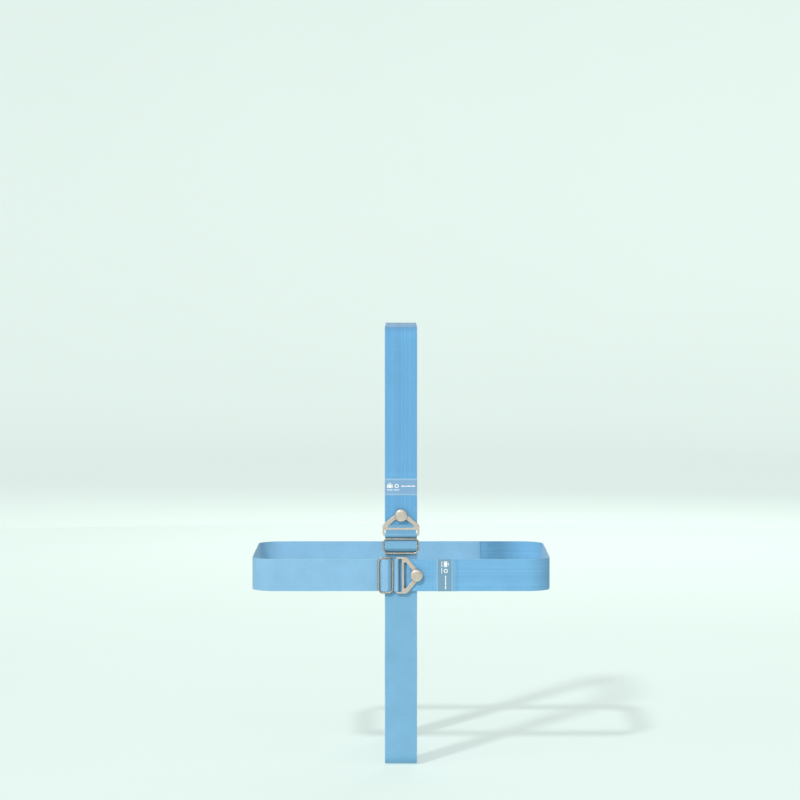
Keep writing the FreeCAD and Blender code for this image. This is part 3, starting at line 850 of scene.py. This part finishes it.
def label(strap, materials):
    """A woven label with folded long edges, lying across the hem."""
    low, high, level = strap.label_start, strap.label_end, strap.hem_level
    thick = strap.label_level - strap.hem_level
    shape = bmesh.new()
    weave = shape.loops.layers.uv.new("weave")
    rows_up, columns, fold, round_edge, side_edge = 28, 61, 2.6 * MM, 0.6 * MM, 1.2 * MM
    profile = []
    length = high - low
    for number in range(rows_up + 1):
        along = length * number / rows_up
        from_edge = min(along, length - along)
        rise = thick * min(1.0, from_edge / round_edge) ** 0.5
        step_down = 0.25 * thick if from_edge > fold else 0.0
        profile.append((along, max(0.05 * MM, rise - step_down)))
    profile = [(0.0, 0.0)] + profile + [(length, 0.0)]
    rows = []
    for along, height in profile:
        row = []
        for number in range(columns):
            across = (STRAP_HALF_WIDTH - 0.15 * MM) * (2 * number / (columns - 1) - 1)
            droop = 0.3 * MM * max(0.0, (abs(across) - STRAP_HALF_WIDTH + side_edge) / side_edge) ** 2
            drift = 0.18 * MM * noise.noise(Vector((across * 60, along * 4, 3.0)))
            place = strap.world(low + along + drift, across, level + max(0.0, height - droop))
            row.append((shape.verts.new(place), (along, across)))
        rows.append(row)
    for low_row, high_row in zip(rows, rows[1:]):
        for number in range(columns - 1):
            corners = (low_row[number], low_row[number + 1], high_row[number + 1], high_row[number])
            face = shape.faces.new([corner[0] for corner in corners])
            for loop, corner in zip(face.loops, corners):
                loop[weave].uv = corner[1]
    shape.faces.new([corner[0] for corner in rows[0] + rows[-1][::-1]])
    for side in (0, -1):
        shape.faces.new([row[side][0] for row in rows])
    piece = add_mesh(f"{strap.name}_woven_label", shape)
    dress(piece, materials[f"{strap.name}_label"], "label", f"{strap.name}_label")
    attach(piece, f"{strap.name}_button_end")


def stitches(strap, name, rows, body, material, node):
    """Rows of stitches across the strap. Each row is (place along, level, +1 outwards or -1)."""
    length, pitch, width, height = 3.1 * MM, 4.0 * MM, 0.7 * MM, 0.35 * MM
    margin = 3.0 * MM
    shape = bmesh.new()
    count = int((2 * STRAP_HALF_WIDTH - 2 * margin) // pitch)
    for along, level, outward in rows:
        for number in range(count):
            across = (number - (count - 1) / 2) * pitch
            wobble = 0.12 * MM * noise.noise(Vector((across * 900, along * 500, level * 100)))
            made = bmesh.ops.create_uvsphere(shape, u_segments=10, v_segments=8, radius=0.5)["verts"]
            for vertex in made:
                p = vertex.co.copy()
                body_shape = 1 - 0.25 * (2 * p.z) ** 2
                vertex.co = strap.world(
                    along + wobble + p.x * width * body_shape,
                    across + p.z * length,
                    level + outward * (p.y * 2 * height * body_shape - SEWN_DEPTH),
                )
    piece = add_mesh(f"{strap.name}_{name}", shape)
    dress(piece, material, "thread", f"{strap.name}_{node}")
    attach(piece, body)


def all_stitching(strap, materials):
    top = strap.label_level
    edge = 1.5 * MM
    end = f"{strap.name}_button_end"
    rows = [(strap.label_start + edge, top, 1), (strap.label_end - edge, top, 1)]
    stitches(strap, "label_thread", rows, end, materials["thread"], "label_stitching")
    low, high = strap.reach("hem_stitching")
    level, inset = strap.hem_level - SEWN_DEPTH, 0.3 * MM
    rows = [(low + inset, level, 1), (high - inset, level, 1)]
    stitches(strap, "hem_thread", rows, end, materials["hem_thread"], "hem_stitching")
    level = strap.back - strap.twill - strap.elastic + SEWN_DEPTH
    outer, inner = 2.5 * MM, 6.2 * MM
    places = (strap.lap + outer, strap.lap + inner, strap.lap_end - inner, strap.lap_end - outer)
    rows = [(place, level, -1) for place in places]
    stitches(strap, "lap_thread", rows, "root", materials["thread"], "lap_stitching")


def outline_block(shape, strap, points, low, high):
    """A thin raised patch of print from an outline in reading coordinates (right, up)."""
    middle = (strap.label_start + strap.label_end) / 2
    rings = []
    for level in (low, high):
        places = [strap.world(middle + up, strap.reading * right, level) for right, up in points]
        rings.append([shape.verts.new(place) for place in places])
    shape.faces.new(rings[0])
    shape.faces.new(rings[1])
    for number in range(len(points)):
        after = (number + 1) % len(points)
        shape.faces.new((rings[0][number], rings[0][after], rings[1][after], rings[1][number]))


def rounded_box(left, low, width, height, radius):
    """A rectangle's outline with round corners."""
    right, top = left + width, low + height
    corners = [(right - radius, top - radius, 0), (left + radius, top - radius, 90),
               (left + radius, low + radius, 180), (right - radius, low + radius, 270)]
    points = []
    for x, y, start in corners:
        for step in range(5):
            angle = math.radians(start + 90 * step / 4)
            points.append((x + radius * math.cos(angle), y + radius * math.sin(angle)))
    return points


def label_print(strap, materials):
    """A generic print: a small suitcase, a ring, and plain bars where a text would stand."""
    low = strap.label_level - 0.25 * (strap.label_level - strap.hem_level) - 0.04 * MM
    high = strap.label_level - 0.06 * MM
    shape = bmesh.new()
    bars = [
        (-21.5, -1.4, 1.5, 5.2, 0.4), (-19.6, -1.4, 4.8, 5.2, 0.4), (-14.4, -1.4, 1.5, 5.2, 0.4),
        (-19.3, 4.2, 0.8, 1.1, 0.1), (-16.0, 4.2, 0.8, 1.1, 0.1), (-19.3, 5.4, 4.1, 0.8, 0.2),
        (-21.5, -5.2, 3.4, 1.2, 0.4), (-17.5, -5.2, 4.6, 1.2, 0.4), (-11.0, -5.2, 5.2, 1.2, 0.4),
        (-5.2, -5.2, 2.6, 1.2, 0.4), (0.6, 0.5, 4.6, 1.6, 0.5), (5.8, 0.5, 3.0, 1.6, 0.5),
        (9.4, 0.5, 6.2, 1.6, 0.5), (16.2, 0.5, 5.6, 1.6, 0.5),
    ]
    for bar in bars:
        outline_block(shape, strap, rounded_box(*(value * MM for value in bar)), low, high)
    centre, inner, outer, steps = (-6.7 * MM, 1.6 * MM), 1.9 * MM, 3.2 * MM, 24
    for step in range(steps):
        first, last = (2 * math.pi * (step + turn) / steps for turn in (0, 1))
        corners = ((inner, first), (outer, first), (outer, last), (inner, last))
        points = [(centre[0] + r * math.cos(a), centre[1] + r * math.sin(a)) for r, a in corners]
        outline_block(shape, strap, points, low, high)
    bmesh.ops.remove_doubles(shape, verts=shape.verts, dist=0.01 * MM)
    piece = add_mesh(f"{strap.name}_label_print", shape)
    piece.data.shade_flat()
    dress(piece, materials["print"], "label")
    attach(piece, f"{strap.name}_button_end")


# --- Metal ---


def button_cap(strap, materials):
    """A turned cap: rolled rim, a groove, and a low dome. Its profile is given as shares of the cap's
    radius and height."""
    low, high, radius = strap.cap_low, strap.cap_high, strap.cap_radius
    tall = high - low
    summit = 0.93
    dome = [(0.30, 0.925), (0.55, 0.91), (0.70, 0.88)]
    groove = [(0.76, 0.84), (0.79, 0.80), (0.82, 0.80), (0.85, 0.84)]
    rim = [(0.89, 0.84), (0.94, 0.76), (0.975, 0.60), (0.995, 0.42), (1.0, 0.26)]
    under = [(0.985, 0.12), (0.95, 0.03), (0.90, 0.0), (0.6, 0.0), (0.34, 0.0)]
    shape = bmesh.new()
    rings = []
    for share, height in dome + groove + rim + under:
        places = [strap.world(x, y, low + height * tall) for x, y in circle(share * radius)]
        rings.append([shape.verts.new(place) for place in places])
    top = shape.verts.new(strap.world(0, 0, low + summit * tall))
    for turn in range(TURNS):
        shape.faces.new((top, rings[0][turn], rings[0][(turn + 1) % TURNS]))
    join_rings(shape, rings)
    piece = add_mesh(f"{strap.name}_swivel_cap", shape)
    dress(piece, materials["satin"], "nickel", f"{strap.name}_button_cap")
    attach(piece, f"{strap.name}_button_cap")


def finish_kept_nodes(strap, materials):
    """The CAD's own metal pieces and hidden thread keep their shape and get their material."""
    finishes = {"button_tack": "satin", "button_post": "polished", "clip": "satin",
                "slider_ring": "polished", "slider_bar": "polished", "sewn_end_stitching": "thread"}
    for node, finish in finishes.items():
        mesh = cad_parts[f"{strap.name}_{node}"].data
        mesh.materials.clear()
        mesh.materials.append(materials[finish])


# --- Everything together ---

STRAPS = {
    "vertical": Strap("vertical", (0, 0, 1), (1, 0, 0), 1),
    "horizontal": Strap("horizontal", (1, 0, 0), (0, 0, 1), -1),
}
LABEL_SIDES = STRAPS["vertical"].corners("label")[1]
STRAP_HALF_WIDTH = (LABEL_SIDES[1] - LABEL_SIDES[0]) / 2
for one, other in (("vertical", "horizontal"), ("horizontal", "vertical")):
    STRAPS[one].crossing = STRAPS[one].local(STRAPS[other].origin).x


def make_materials():
    made = {
        "thread": thread_material("thread", LIGHT_BLUE),
        "hem_thread": thread_material("hem_thread", ELASTIC_BLUE["vertical"]),
        "print": print_material(),
        # The polished pieces' darker plate (0.78) is painted shade for the dark reflections that
        # polished wire shows.
        "polished": nickel_material("nickel_polished", 0.78, 0.12, 0.24, 0.85),
        "satin": nickel_material("nickel_satin", 1.0, 0.38, 0.50, 0.60),
    }
    for name, strap in STRAPS.items():
        for stretches, part in ((True, "front"), (False, "back")):
            made[f"{name}_elastic_{part}"] = elastic_material(name, stretches)
            made[f"{name}_twill_{part}"] = twill_material(name, stretches)
        made[f"{name}_label"] = label_material(strap)
    return made


def make_strap(strap, materials):
    elastic_front(strap, materials)
    elastic_back(strap, materials)
    twill_loop(strap, materials)
    twill_return(strap, materials)
    twill_front(strap, materials)
    twill_back(strap, materials)
    label(strap, materials)
    label_print(strap, materials)
    all_stitching(strap, materials)
    button_cap(strap, materials)
    finish_kept_nodes(strap, materials)


make_camera()
make_floor()
make_flag()
make_lights()
MATERIALS = make_materials()
for each in STRAPS.values():
    make_strap(each, MATERIALS)
